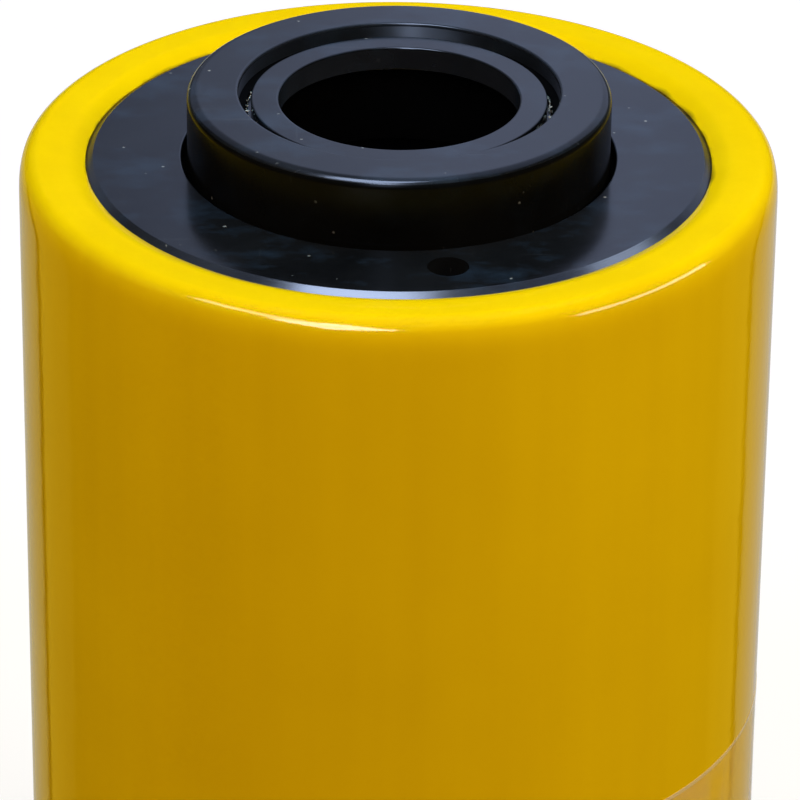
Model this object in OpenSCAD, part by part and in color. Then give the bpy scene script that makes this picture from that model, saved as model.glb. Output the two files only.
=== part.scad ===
// Hollow plunger cylinder: single-acting, returned by a spring, with a hole right through its middle.
// Lengths are in millimetres. The axis is Z, the base stands on Z = 0, and the oil port faces +Y.

/* [Body] */
// Outside diameter of the painted body
body_d = 114; // [110:1:122]
// Height of the body, from the base to the flat ring round its mouth
body_h = 168; // [160:1:190]
// Diameter of the bore that the piston slides in
bore_d = 87; // [84:0.5:89]
// Thickness of the floor below the piston
base_t = 20; // [18:0.5:24]
// Diameter of the threaded mouth that takes the gland
mouth_d = 94; // [92:0.5:98]
// Radius of the outer top edge
body_top_r = 2.8; // [1:0.1:5]
// Width of the sloping lip round the mouth
mouth_lip_w = 2.4; // [1:0.1:3]
// Drop of that lip towards the gland
mouth_lip_drop = 1.2; // [0.4:0.1:1.5]
// Chamfer round the foot of the body
foot_chamfer = 1.5; // [0.5:0.1:3]

/* [Base mounting holes] */
// Nominal thread diameter of the mounting holes
base_hole_d = 10; // [6:0.5:12]
// Depth of the mounting holes
base_hole_depth = 14; // [8:0.5:16]
// Diameter of the circle that the mounting holes lie on
base_pcd = 92; // [84:1:96]
// Number of mounting holes
base_holes = 2; // [2:2:4]

/* [Gland] */
// Height of the gland ring
gland_h = 26.4; // [26:0.2:32]
// Drop of the gland's face below the top of the body
gland_drop = 0.6; // [0.2:0.1:2]
// Diameter of the opening in the gland's face
gland_bore_d = 65.2; // [64.6:0.1:67]
// Width of the bevel round the gland's face
gland_bevel_w = 1.1; // [0.4:0.05:2]
// Drop of that bevel
gland_bevel_drop = 0.85; // [0.4:0.05:1]
// Diameter of the pin-spanner holes
spanner_d = 6.1; // [4:0.1:7]
// Depth of the pin-spanner holes
spanner_depth = 5; // [4:0.5:5.5]
// Diameter of the circle that the spanner holes lie on
spanner_pcd = 76.8; // [75:0.2:80]
// Turn of the first spanner hole, to the right of the front
spanner_turn = 11; // [0:1:90]

/* [Plunger] */
// Travel of the plunger
stroke = 64; // [50:1:66]
// Outside diameter of the plunger
plunger_d = 63.5; // [62:0.1:64]
// Height of the plunger's end above the body when it is fully in
plunger_rise = 10; // [6:0.5:16]
// Radius of the plunger's outer top edge
plunger_top_r = 1.4; // [0.5:0.1:2]
// Diameter of the recess at the plunger's mouth, wider than the saddle's thread
recess_d = 48.1; // [48:0.1:50]
// Depth of that recess
recess_depth = 2.6; // [1.5:0.1:4]
// Broken edge round that recess
recess_edge = 0.3; // [0.1:0.05:0.6]
// Height of the piston head
piston_t = 26; // [25:0.5:28]
// Height of the narrower nose under the piston's seals
piston_nose_h = 8; // [6:0.5:9]
// Step in from the bore to that nose
piston_nose_step = 3.5; // [2:0.1:5]
// Wall of the piston's sleeve, which holds the plunger and meets the gland at full stroke
stop_wall = 3; // [2:0.1:3.5]

/* [Saddle] */
// Nominal diameter of the saddle's thread
saddle_d = 46; // [45.6:0.1:48]
// Height of the saddle
saddle_h = 16; // [12:0.5:20]
// Drop of the saddle's face below the plunger's end
saddle_drop = 1.35; // [0.5:0.05:3]
// Diameter of the hole in the saddle
saddle_hole_d = 36; // [32:0.5:37]
// Height of the lip round that hole
saddle_lip_h = 3.7; // [2:0.1:6]
// Step out from the hole to the relief below the lip
saddle_relief = 1.6; // [0.5:0.1:2]
// Step in from the saddle's thread to the neck that stands in the recess
saddle_neck = 0.8; // [0.3:0.1:1.2]
// Chamfer round the saddle's face
saddle_chamfer = 0.2; // [0.1:0.05:0.6]

/* [Centre tube] */
// Diameter of the hole through the tube
tube_hole_d = 36.4; // [34:0.2:36.8]
// Wall of the tube
tube_wall = 3.3; // [2.5:0.1:3.4]
// Width of the flange that holds the tube in the base
tube_flange_w = 3; // [2:0.1:4]
// Thickness of that flange
tube_flange_t = 5; // [4:0.2:6]
// Gap between the tube's top and the saddle when the plunger is in
tube_top_gap = 6; // [3:0.5:10]
// Thickness of the retaining ring under the flange
clip_t = 1.6; // [1.2:0.1:2]
// Depth of the retaining ring inside the base
clip_depth = 1.8; // [1:0.1:2.5]

/* [Seals and guides] */
// Height of the piston seals
seal_h = 6.5; // [5:0.1:7]
// Height of their backup rings
backup_h = 2.4; // [1.5:0.1:3]
// Section of the outer piston seal
outer_seal_w = 5.5; // [4:0.1:6]
// Section of the inner piston seal
inner_seal_w = 4.4; // [3.5:0.1:5]
// Height of the piston's guide rings
guide_h = 4; // [3:0.1:5]
// Thickness of every guide ring
guide_w = 2; // [1.5:0.1:2.5]
// Height of the guide ring in the gland
gland_guide_h = 10; // [8:0.5:11]
// Section of the wiper
wiper_w = 4.4; // [3.5:0.1:5]
// Height of the wiper
wiper_h = 5.6; // [5:0.1:6]
// Section of the ring that seals the tube in the base
o_ring_w = 2.6; // [2:0.1:3]
// Split in the guide rings and the retaining ring
split_w = 2; // [1:0.1:4]

/* [Return spring] */
// Diameter of the wire
spring_wire = 5; // [4:0.1:5.5]
// Turns from end to end
spring_turns = 5; // [4:0.25:5.25]
// Turns that lie flat at each end
spring_flat_turns = 0.9; // [0.5:0.05:1]

/* [Hose coupler] */
// Height of the oil port above the base
port_z = 24; // [22:0.5:28]
// Nominal thread diameter of the port
port_d = 17; // [14:0.5:18]
// Diameter of the drilled way from the port to the bore
port_drill_d = 6; // [4:0.5:7]
// Depth of the port's thread below its flat
port_depth = 8.5; // [6:0.1:9]
// Width of the coupler's hexagon across its flats
hex_af = 27; // [24:1:30]
// Length of the hexagon
hex_l = 12; // [8:0.5:16]
// Nominal diameter of the coupler's outer thread
nose_d = 27; // [25:0.5:30]
// Length of the coupler's nose
nose_l = 23.5; // [22:0.5:30]
// Diameter of the socket in the nose
socket_d = 19; // [18.4:0.1:20]
// Depth of the socket
socket_l = 10; // [9:0.5:12]
// Diameter of the check ball
ball_d = 10.4; // [9.6:0.1:11]
// Travel of the check ball
ball_travel = 3; // [2:0.1:3.5]
// Wire of the ball's spring
ball_wire = 0.9; // [0.7:0.1:1.2]

/* [Fits] */
// Radial clearance of the sliding fits
running = 0.05; // [0.02:0.01:0.1]
// Radial clearance of pieces that stay put in their seats
seat = 0.05; // [0.02:0.01:0.1]
// Gap left at the stops, at both ends of the travel
stop_gap = 0.3; // [0.1:0.05:0.5]

/* [Hidden] */
$fn = 128;
over = 1;

// Radii and heights of the body and the gland
body_r = body_d / 2;
bore_r = bore_d / 2;
mouth_r = mouth_d / 2;
plunger_r = plunger_d / 2;
gland_top = body_h - gland_drop;
gland_bottom = gland_top - gland_h;
spanner_floor = 1;
gland_lip_h = spanner_depth + spanner_floor;
gland_land = 2.5;
gland_land_gap = 0.5;
gland_land_r = plunger_r + gland_land_gap;
wiper_top = gland_top - gland_lip_h;
wiper_bottom = wiper_top - wiper_h - 2 * seat;
gland_guide_z = gland_bottom + gland_land;
gland_guide_top = gland_guide_z + gland_guide_h + 2 * seat;
gland_split_turn = 60;
flange_lead = 0.75;

// Shape of the wiper's section, in shares of its width and height
wiper_heel = 0.3;
wiper_back = 0.45;
wiper_valley = 0.55;
wiper_tip_low = 0.8;
wiper_tip_high = 0.95;

// Heights of the plunger, the piston and the saddle when the plunger is in
plunger_top = body_h + plunger_rise;
piston_bottom = base_t + stop_gap;
piston_top = piston_bottom + piston_t;
piston_r = bore_r - running;
stop_top = gland_bottom - stroke - stop_gap;
seal_land = 2;
guide_land = 2.5;
seal_z = piston_bottom + piston_nose_h + seal_land;
backup_z = seal_z + seal_h;
guide_z = backup_z + backup_h + guide_land;
piston_split_turn = 20;
inner_split_turn = 200;
piston_chamfer = 0.5;
stop_chamfer = 1;
lip_reach = 0.3;
lip_depth = 0.55;
saddle_top = plunger_top - saddle_drop;
saddle_bottom = saddle_top - saddle_h;
saddle_r = saddle_d / 2 - seat;
saddle_neck_r = saddle_r - saddle_neck;
recess_floor = plunger_top - recess_depth;

// Centre tube and its seat in the base
tube_r = tube_hole_d / 2 + tube_wall;
flange_r = tube_r + tube_flange_w;
flange_bottom = clip_depth + clip_t + seat;
flange_top = flange_bottom + tube_flange_t;
tube_top = saddle_bottom - tube_top_gap;
tube_end_chamfer = 1.3;
plunger_bore_gap = 0.7;
plunger_bore_r = tube_r + plunger_bore_gap;
o_ring_land = 2;
o_ring_z = flange_top + o_ring_land;
o_ring_groove_h = o_ring_w + backup_h + 3 * seat;
clip_groove = 1.1;
clip_w = 2.6;
clip_ear_r = 2.2;
clip_ear_turn = 9;
clip_eye_r = 1;
clip_eye_in = 0.65;

// Return spring between the piston and the gland
spring_gap = 0.1;
spring_steps = 30;
spring_sides = 10;
coil_close = 1.02;
spring_r = (plunger_r + stop_wall + bore_r) / 2;
spring_bottom = piston_top + spring_gap;
spring_l = gland_bottom - spring_gap - spring_bottom;

// Coupler, measured along +Y from the axis of the body
hex_r = hex_af / sqrt(3);
hex_bevel = 1.25;
spot_margin = 1;
spot_cut = 0.1;
spot_r = hex_r + spot_margin;
port_face = sqrt(body_r * body_r - spot_r * spot_r) - spot_cut;
port_end = port_face - port_depth;
hex_end = port_face + hex_l;
nose_end = hex_end + nose_l;
socket_end = nose_end - socket_l;
insert_l = 5;
insert_step = 1.1;
insert_r = socket_d / 2 - insert_step;
insert_share = 0.65;
insert_hole_r = ball_d / 2 * insert_share;
insert_lip = 2;
insert_slot_w = 2;
insert_slot_depth = 1;
insert_end = socket_end - insert_l;
cone_tip = socket_end - insert_lip;
ball_r = ball_d / 2;
ball_room = 1.2;
chamber_r = ball_r + ball_room;
seat_gap = 0.15;
ball_y = cone_tip + insert_hole_r - ball_r * sqrt(2) - seat_gap;
ball_spring_share = 0.77;
ball_spring_r = ball_r * ball_spring_share;
ball_spring_end = ball_y - sqrt(ball_r * ball_r - ball_spring_r * ball_spring_r) - ball_wire / 2;
ball_spring_l = 10;
ball_spring_turns = 5;
ball_spring_steps = 20;
ball_spring_sides = 8;
chamber_end = ball_spring_end - ball_spring_l - seat;
coupler_way_r = 3.4;
nose_groove_up = 3;
nose_groove_z = socket_end + nose_groove_up;
coupler_seal_w = 1.8;
socket_chamfer = 0.8;
nose_chamfer = 1.2;

// Rounds the corner of a profile: placed at the arc's centre, towards the side where the corner is
module corner_cut(r, side_x, side_z) {
    difference() {
        translate([side_x > 0 ? 0 : -r - over, side_z > 0 ? 0 : -r - over])
            square(r + over);
        circle(r);
    }
}

// Bevels the corner of a profile by a width and a drop: placed at the corner itself
module bevel_cut(w, drop, side_x, side_z) {
    polygon([
        [-side_x * (w + over), side_z * over * drop / w],
        [-side_x * (w + over), side_z * over * 2],
        [side_x * over, side_z * over * 2],
        [side_x * over, -side_z * (drop + over * drop / w)]
    ]);
}

// Bevels the corner of a profile at 45 degrees
module chamfer_cut(c, side_x, side_z) {
    bevel_cut(c, c, side_x, side_z);
}

// Half-section of a plain ring
module section(r_in, r_out, bottom, top) {
    translate([r_in, bottom])
        square([r_out - r_in, top - bottom]);
}

// Plain ring
module ring(r_in, r_out, bottom, top) {
    rotate_extrude()
        section(r_in, r_out, bottom, top);
}

// Lip seal with its groove facing down, towards the oil
module lip_seal(r_in, r_out, bottom, height) {
    middle = (r_in + r_out) / 2;
    reach = (r_out - r_in) * lip_reach;
    rotate_extrude()
        difference() {
            section(r_in, r_out, bottom, bottom + height);
            polygon([
                [middle - reach, bottom - over],
                [middle + reach, bottom - over],
                [middle + reach, bottom],
                [middle, bottom + height * lip_depth],
                [middle - reach, bottom]
            ]);
        }
}

// Guide ring with a split, so that it springs into its groove
module split_ring(r_in, r_out, bottom, height, turn) {
    difference() {
        ring(r_in, r_out, bottom, bottom + height);
        rotate(turn)
            translate([0, -split_w / 2, bottom - over])
                cube([r_out + over, split_w, height + 2 * over]);
    }
}

// Coil spring along Z: wire points turn by turn, with flat ends
function coil_rise(u, turns, flat, wire, length) =
    let (flat_pitch = wire * coil_close)
    let (pitch = (length - wire - 2 * flat * flat_pitch) / (turns - 2 * flat))
    wire / 2 + flat_pitch * min(u, flat) + pitch * min(max(u - flat, 0), turns - 2 * flat)
        + flat_pitch * max(u - turns + flat, 0);

module coil(r, wire, turns, flat, length, steps, sides) {
    count = ceil(turns * steps);
    points = [
        for (i = [0:count], k = [0:sides - 1])
            let (u = turns * i / count)
            let (reach = r + wire / 2 * cos(360 * k / sides))
            [
                reach * cos(360 * u),
                reach * sin(360 * u),
                coil_rise(u, turns, flat, wire, length) + wire / 2 * sin(360 * k / sides)
            ]
    ];
    walls = [
        for (i = [0:count - 1], k = [0:sides - 1])
            let (a = i * sides + k)
            let (b = i * sides + (k + 1) % sides)
            [a, b, b + sides, a + sides]
    ];
    first = [for (k = [sides - 1:-1:0]) k];
    last = [for (k = [0:sides - 1]) count * sides + k];
    polyhedron(points, concat(walls, [first], [last]));
}

// Turns a shape drawn along Z so that it lies along +Y at the port
module at_port() {
    translate([0, 0, port_z])
        rotate([-90, 0, 0])
            children();
}

module body_section() {
    difference() {
        section(0, body_r, 0, body_h);
        section(-over, bore_r, base_t, body_h + over);
        section(-over, mouth_r, gland_bottom, body_h + over);
        section(-over, tube_r + seat, -over, base_t + over);
        section(-over, flange_r + seat, -over, flange_top);
        section(0, flange_r + clip_groove, clip_depth - seat, clip_depth + clip_t + seat);
        section(0, tube_r + o_ring_w + 2 * seat, o_ring_z, o_ring_z + o_ring_groove_h);
        translate([body_r - body_top_r, body_h - body_top_r])
            corner_cut(body_top_r, 1, 1);
        translate([mouth_r, body_h])
            bevel_cut(mouth_lip_w, mouth_lip_drop, -1, 1);
        translate([body_r, 0])
            chamfer_cut(foot_chamfer, 1, -1);
        translate([flange_r + seat, 0])
            chamfer_cut(flange_lead, -1, -1);
    }
}

module cylinder_body() {
    color("gold")
        difference() {
            rotate_extrude()
                body_section();
            for (i = [0:base_holes - 1])
                rotate(i * 360 / base_holes)
                    translate([base_pcd / 2, 0, -over])
                        cylinder(d = base_hole_d, h = base_hole_depth + over);
            at_port() {
                translate([0, 0, port_face])
                    cylinder(r = spot_r, h = body_r);
                translate([0, 0, port_end])
                    cylinder(d = port_d, h = body_r);
                translate([0, 0, bore_r - over])
                    cylinder(d = port_drill_d, h = body_r - bore_r);
            }
        }
}

module gland_section() {
    difference() {
        section(gland_land_r, mouth_r - seat, gland_bottom, gland_top);
        section(0, gland_bore_d / 2, wiper_bottom, gland_top + over);
        section(0, plunger_r + running + wiper_w + seat, wiper_bottom, wiper_top);
        section(0, plunger_r + running + guide_w + seat, gland_guide_z, gland_guide_top);
        translate([mouth_r - seat, gland_top])
            bevel_cut(gland_bevel_w, gland_bevel_drop, 1, 1);
    }
}

module gland_nut() {
    color("darkslategray")
        difference() {
            rotate_extrude()
                gland_section();
            for (turn = [0, 180])
                rotate(turn + spanner_turn - 90)
                    translate([spanner_pcd / 2, 0, gland_top - spanner_depth])
                        cylinder(d = spanner_d, h = spanner_depth + over);
        }
}

module gland_guide_ring() {
    inner = plunger_r + running;
    color("peru")
        split_ring(inner, inner + guide_w, gland_guide_z + seat, gland_guide_h, gland_split_turn);
}

module wiper_ring() {
    inner = plunger_r + running;
    color("black")
        rotate_extrude()
            translate([inner, wiper_bottom + seat])
                polygon([
                    [wiper_w * wiper_heel, 0],
                    [wiper_w, 0],
                    [wiper_w, wiper_h],
                    [wiper_w * wiper_back, wiper_h],
                    [wiper_w * wiper_heel, wiper_h * wiper_valley],
                    [0, wiper_h * wiper_tip_high],
                    [0, wiper_h * wiper_tip_low]
                ]);
}

module center_tube() {
    color("silver")
        rotate_extrude()
            difference() {
                union() {
                    section(tube_hole_d / 2, tube_r, flange_bottom, tube_top);
                    section(tube_hole_d / 2, flange_r, flange_bottom, flange_top);
                }
                translate([tube_r, tube_top])
                    chamfer_cut(tube_end_chamfer, 1, 1);
            }
}

module tube_o_ring() {
    color("black")
        rotate_extrude()
            translate([tube_r + seat + o_ring_w / 2, o_ring_z + backup_h + 2 * seat + o_ring_w / 2])
                circle(d = o_ring_w);
}

module tube_backup_ring() {
    color("ivory")
        ring(tube_r + seat, tube_r + seat + o_ring_w, o_ring_z + seat, o_ring_z + seat + backup_h);
}

// Outline of the retaining ring: an open hoop with an ear at each end, drilled for the pliers
module clip_outline(inner, outer) {
    difference() {
        union() {
            difference() {
                circle(outer);
                circle(inner);
            }
            for (turn = [-clip_ear_turn, clip_ear_turn])
                rotate(turn)
                    translate([0, -inner])
                        circle(clip_ear_r);
        }
        translate([-split_w / 2, -outer - over])
            square([split_w, clip_w + clip_ear_r + 2 * over]);
        for (turn = [-clip_ear_turn, clip_ear_turn])
            rotate(turn)
                translate([0, -inner + clip_eye_in])
                    circle(clip_eye_r);
    }
}

module tube_retaining_ring() {
    outer = flange_r + clip_groove - seat;
    color("dimgray")
        translate([0, 0, clip_depth])
            linear_extrude(clip_t)
                clip_outline(outer - clip_w, outer);
}

module return_spring() {
    color("slategray")
        translate([0, 0, spring_bottom])
            coil(spring_r, spring_wire, spring_turns, spring_flat_turns, spring_l,
                spring_steps, spring_sides);
}

module plunger() {
    color("dimgray")
        rotate_extrude()
            difference() {
                section(plunger_bore_r, plunger_r, piston_top + seat, plunger_top);
                section(0, saddle_d / 2, saddle_bottom - seat, plunger_top + over);
                translate([plunger_r - plunger_top_r, plunger_top - plunger_top_r])
                    corner_cut(plunger_top_r, 1, 1);
                section(0, recess_d / 2, recess_floor, plunger_top + over);
                translate([recess_d / 2, plunger_top])
                    chamfer_cut(recess_edge, -1, 1);
            }
}

// Piston with the sleeve that the plunger screws into, and grooves for its seals and guides
module piston_section() {
    inner = tube_r + running;
    groove_top = backup_z + backup_h + seat;
    difference() {
        union() {
            section(inner, piston_r, piston_bottom, piston_top);
            section(plunger_r + seat, plunger_r + stop_wall, piston_top - over, stop_top);
        }
        section(piston_r - piston_nose_step, body_r, 0, piston_bottom + piston_nose_h);
        section(piston_r - outer_seal_w - seat, body_r, seal_z - seat, groove_top);
        section(piston_r - guide_w - seat, body_r, guide_z - seat, guide_z + guide_h + seat);
        section(0, inner + inner_seal_w + seat, seal_z - seat, groove_top);
        section(0, inner + guide_w + seat, guide_z - seat, guide_z + guide_h + seat);
        translate([plunger_r + stop_wall, stop_top])
            chamfer_cut(stop_chamfer, 1, 1);
        translate([piston_r, piston_top])
            chamfer_cut(piston_chamfer, 1, 1);
    }
}

module piston_head() {
    color("gray")
        rotate_extrude()
            piston_section();
}

module saddle() {
    relief_r = saddle_hole_d / 2 + saddle_relief;
    color("darkslategray")
        rotate_extrude()
            difference() {
                section(saddle_hole_d / 2, saddle_r, saddle_bottom, saddle_top);
                section(0, relief_r, saddle_bottom - over, saddle_top - saddle_lip_h);
                section(saddle_neck_r, plunger_r, recess_floor, plunger_top);
                translate([saddle_neck_r, saddle_top])
                    chamfer_cut(saddle_chamfer, 1, 1);
            }
}

module piston_seal() {
    color("royalblue")
        lip_seal(piston_r - outer_seal_w, piston_r, seal_z, seal_h - seat);
}

module piston_backup_ring() {
    color("ivory")
        ring(piston_r - outer_seal_w, piston_r, backup_z, backup_z + backup_h);
}

module piston_guide_ring() {
    color("peru")
        split_ring(piston_r - guide_w, piston_r, guide_z, guide_h, piston_split_turn);
}

module inner_seal() {
    color("royalblue")
        lip_seal(tube_r + running, tube_r + running + inner_seal_w, seal_z, seal_h - seat);
}

module inner_backup_ring() {
    color("ivory")
        ring(tube_r + running, tube_r + running + inner_seal_w, backup_z, backup_z + backup_h);
}

module inner_guide_ring() {
    color("peru")
        split_ring(tube_r + running, tube_r + running + guide_w, guide_z, guide_h, inner_split_turn);
}

module coupler_bore_section() {
    section(0, coupler_way_r, port_end - over, nose_end);
    section(0, chamber_r, chamber_end, nose_end);
    section(0, insert_r + seat, insert_end, nose_end);
    section(0, socket_d / 2, socket_end, nose_end + over);
    section(0, socket_d / 2 + coupler_seal_w, nose_groove_z - seat, nose_groove_z + coupler_seal_w + seat);
    translate([socket_d / 2, nose_end])
        chamfer_cut(socket_chamfer, -1, 1);
}

module coupler_body() {
    color("darkgray")
        at_port()
            difference() {
                union() {
                    translate([0, 0, port_end + seat])
                        cylinder(d = port_d - 2 * seat, h = hex_end - port_end - seat);
                    translate([0, 0, hex_end - over])
                        cylinder(d = nose_d, h = nose_l + over);
                    intersection() {
                        translate([0, 0, port_face + seat])
                            cylinder(r = hex_r, h = hex_l - seat, $fn = 6);
                        rotate_extrude()
                            difference() {
                                section(0, hex_r, port_face + seat, hex_end);
                                translate([hex_r, hex_end])
                                    chamfer_cut(hex_bevel, 1, 1);
                            }
                    }
                }
                rotate_extrude()
                    coupler_bore_section();
                rotate_extrude()
                    translate([nose_d / 2, nose_end])
                        chamfer_cut(nose_chamfer, 1, 1);
            }
}

module coupler_insert() {
    color("silver")
        at_port()
            difference() {
                rotate_extrude()
                    difference() {
                        section(insert_hole_r, insert_r, insert_end + seat, socket_end);
                        polygon([
                            [insert_hole_r, cone_tip],
                            [insert_hole_r + cone_tip - insert_end, insert_end],
                            [insert_hole_r + cone_tip - insert_end, insert_end - over],
                            [0, insert_end - over],
                            [0, cone_tip]
                        ]);
                    }
                translate([-insert_r, -insert_slot_w / 2, socket_end - insert_slot_depth])
                    cube([2 * insert_r, insert_slot_w, insert_slot_depth + over]);
            }
}

module coupler_seal() {
    color("black")
        at_port()
            rotate_extrude()
                translate([socket_d / 2 + coupler_seal_w / 2, nose_groove_z + coupler_seal_w / 2])
                    circle(d = coupler_seal_w - 2 * seat);
}

module coupler_spring() {
    color("slategray")
        at_port()
            translate([0, 0, ball_spring_end - ball_spring_l])
                coil(ball_spring_r, ball_wire, ball_spring_turns, spring_flat_turns, ball_spring_l,
                    ball_spring_steps, ball_spring_sides);
}

module coupler_ball() {
    color("silver")
        translate([0, ball_y, port_z])
            sphere(d = ball_d);
}

cylinder_body();
gland_nut();
gland_guide_ring();
wiper_ring();
center_tube();
tube_o_ring();
tube_backup_ring();
tube_retaining_ring();
return_spring();
plunger();
saddle();
piston_head();
piston_seal();
piston_backup_ring();
piston_guide_ring();
inner_seal();
inner_backup_ring();
inner_guide_ring();
coupler_body();
coupler_insert();
coupler_seal();
coupler_spring();
coupler_ball();
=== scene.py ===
import math
import bmesh
import bpy
from mathutils import Matrix, Vector


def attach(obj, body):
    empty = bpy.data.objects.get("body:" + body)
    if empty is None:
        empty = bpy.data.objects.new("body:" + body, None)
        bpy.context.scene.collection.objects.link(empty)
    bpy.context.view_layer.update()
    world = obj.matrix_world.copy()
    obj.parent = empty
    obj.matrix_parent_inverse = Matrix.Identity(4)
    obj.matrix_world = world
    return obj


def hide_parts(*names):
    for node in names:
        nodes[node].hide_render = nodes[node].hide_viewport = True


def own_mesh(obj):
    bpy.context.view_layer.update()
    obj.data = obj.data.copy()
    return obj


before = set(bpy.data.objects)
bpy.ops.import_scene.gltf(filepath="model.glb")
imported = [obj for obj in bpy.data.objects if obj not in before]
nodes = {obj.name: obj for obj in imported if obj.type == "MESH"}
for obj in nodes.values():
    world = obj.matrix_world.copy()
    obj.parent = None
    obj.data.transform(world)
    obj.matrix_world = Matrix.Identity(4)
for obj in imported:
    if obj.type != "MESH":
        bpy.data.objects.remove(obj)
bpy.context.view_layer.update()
scene = bpy.context.scene
scene.view_settings.view_transform = "Standard"
mm = 0.001
print("frame:", len(nodes), "solids loaded")


# node helpers: an input takes a plain value or another node's socket

def feed(tree, socket, value):
    if isinstance(value, bpy.types.NodeSocket):
        tree.links.new(value, socket)
    else:
        socket.default_value = value


def addNode(tree, kind, values=None, **settings):
    node = tree.nodes.new(kind)
    for key, value in settings.items():
        setattr(node, key, value)
    for key, value in (values or {}).items():
        feed(tree, node.inputs[key], value)
    return node


def objectCoords(tree):
    return addNode(tree, "ShaderNodeTexCoord").outputs["Object"]


def axes(tree, source):
    return addNode(tree, "ShaderNodeSeparateXYZ", {"Vector": source}).outputs


def vector(tree, x, y, z):
    return addNode(tree, "ShaderNodeCombineXYZ", {"X": x, "Y": y, "Z": z}).outputs["Vector"]


def scaled(tree, coords, scale, turn=0.0):
    given = {"Vector": coords, "Scale": scale, "Rotation": (0, 0, turn)}
    return addNode(tree, "ShaderNodeMapping", given).outputs["Vector"]


def noise(tree, coords, scale, detail=2.0, rough=0.5):
    given = {"Vector": coords, "Scale": scale, "Detail": detail, "Roughness": rough}
    return addNode(tree, "ShaderNodeTexNoise", given).outputs["Fac"]


def lineNoise(tree, value, scale):
    given = {"W": value, "Scale": scale}
    return addNode(tree, "ShaderNodeTexNoise", given, noise_dimensions="1D").outputs["Fac"]


def spread(tree, value, low, high, outLow=0.0, outHigh=1.0):
    given = {"Value": value, "From Min": low, "From Max": high, "To Min": outLow, "To Max": outHigh}
    return addNode(tree, "ShaderNodeMapRange", given).outputs["Result"]


def sums(tree, operation, a, b=0):
    return addNode(tree, "ShaderNodeMath", {0: a, 1: b}, operation=operation).outputs["Value"]


def weighed(tree, a, b, share=0.5):
    return sums(tree, "ADD", sums(tree, "MULTIPLY", a, share), sums(tree, "MULTIPLY", b, 1 - share))


def blendColor(tree, factor, first, second):
    first, second = ((*color, 1.0) if isinstance(color, tuple) else color for color in (first, second))
    return addNode(tree, "ShaderNodeMix", {"Factor": factor, 6: first, 7: second}, data_type="RGBA").outputs[2]


def relief(tree, height, depth, before=None):
    given = {"Strength": 1.0, "Distance": depth, "Height": height}
    if before is not None:
        given["Normal"] = before
    return addNode(tree, "ShaderNodeBump", given).outputs["Normal"]


def axisDistance(tree, coords):
    flat = addNode(tree, "ShaderNodeVectorMath", {0: coords, 1: (1, 1, 0)}, operation="MULTIPLY")
    return addNode(tree, "ShaderNodeVectorMath", {0: flat.outputs["Vector"]}, operation="LENGTH").outputs["Value"]


def specks(tree, coords, cell, size, patch, rare):
    # small spots, and only in some patches
    dots = addNode(tree, "ShaderNodeTexVoronoi", {"Vector": coords, "Scale": cell}).outputs["Distance"]
    return sums(tree, "MULTIPLY", spread(tree, dots, *size), spread(tree, noise(tree, coords, *patch), *rare))


# finishes, with lengths in metres and each noise as scale, detail, roughness

wideNoise = (0.3, 0.7)  # parts of a noise's range that a tone is spread over
midNoise = (0.35, 0.65)


def newMaterial(name):
    finish = bpy.data.materials.new(name)
    finish.use_nodes = True
    return finish, finish.node_tree


def newFinish(name, sockets):
    finish, tree = newMaterial(name)
    shader = tree.nodes["Principled BSDF"].inputs
    for key, value in sockets.items():
        shader[key].default_value = value
    return finish, tree, shader, objectCoords(tree)


def dress(tree, shader, color, rough, normal):
    feed(tree, shader["Base Color"], color)
    feed(tree, shader["Roughness"], rough)
    feed(tree, shader["Normal"], normal)


paint = {"deep": (0.745, 0.490, 0.001), "fresh": (0.79, 0.530, 0.001), "ior": 1.34, "rough": (0.05, 0.09),
         "runs": (130, 2), "runStretch": (1, 1, 0.05), "cloud": (35, 3), "haze": (420, 3),
         "sag": (55, 1), "sagDepth": 0.00011, "peel": (750, 2), "peelDepth": 0.000016,
         "nibs": {"cell": 260, "size": (0.10, 0.02), "patch": (190, 1), "rare": (0.62, 0.66)}, "nibDepth": 0.00003,
         "lipDark": (0.05, 0.042, 0.006), "lipDarkEdge": (0.0482, 0.0475), "lipDarkRise": (0.150, 0.155), "lipDarkMost": 0.8,
         "ragged": (160, 3), "raggedBy": 0.0016}


def makePaint():
    p = paint
    finish, tree, shader, coords = newFinish("yellowPaint", {"IOR": p["ior"]})
    runs = noise(tree, scaled(tree, coords, p["runStretch"]), *p["runs"])  # faint, down the wall
    tone = weighed(tree, runs, noise(tree, coords, *p["cloud"]))
    color = blendColor(tree, spread(tree, tone, *midNoise), p["deep"], p["fresh"])
    ragged = sums(tree, "MULTIPLY", noise(tree, coords, *p["ragged"]), p["raggedBy"])
    edge = spread(tree, sums(tree, "ADD", axisDistance(tree, coords), ragged), *p["lipDarkEdge"])
    high = spread(tree, axes(tree, coords)["Z"], *p["lipDarkRise"], 0, p["lipDarkMost"])
    color = blendColor(tree, sums(tree, "MULTIPLY", edge, high), color, p["lipDark"])  # paint darkened in a ragged band along the mouth's inner edge, near the top only
    rough = spread(tree, noise(tree, coords, *p["haze"]), *wideNoise, *p["rough"])
    normal = relief(tree, noise(tree, coords, *p["sag"]), p["sagDepth"])
    normal = relief(tree, noise(tree, coords, *p["peel"]), p["peelDepth"], normal)
    normal = relief(tree, specks(tree, coords, **p["nibs"]), p["nibDepth"], normal)
    dress(tree, shader, color, rough, normal)
    return finish


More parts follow.
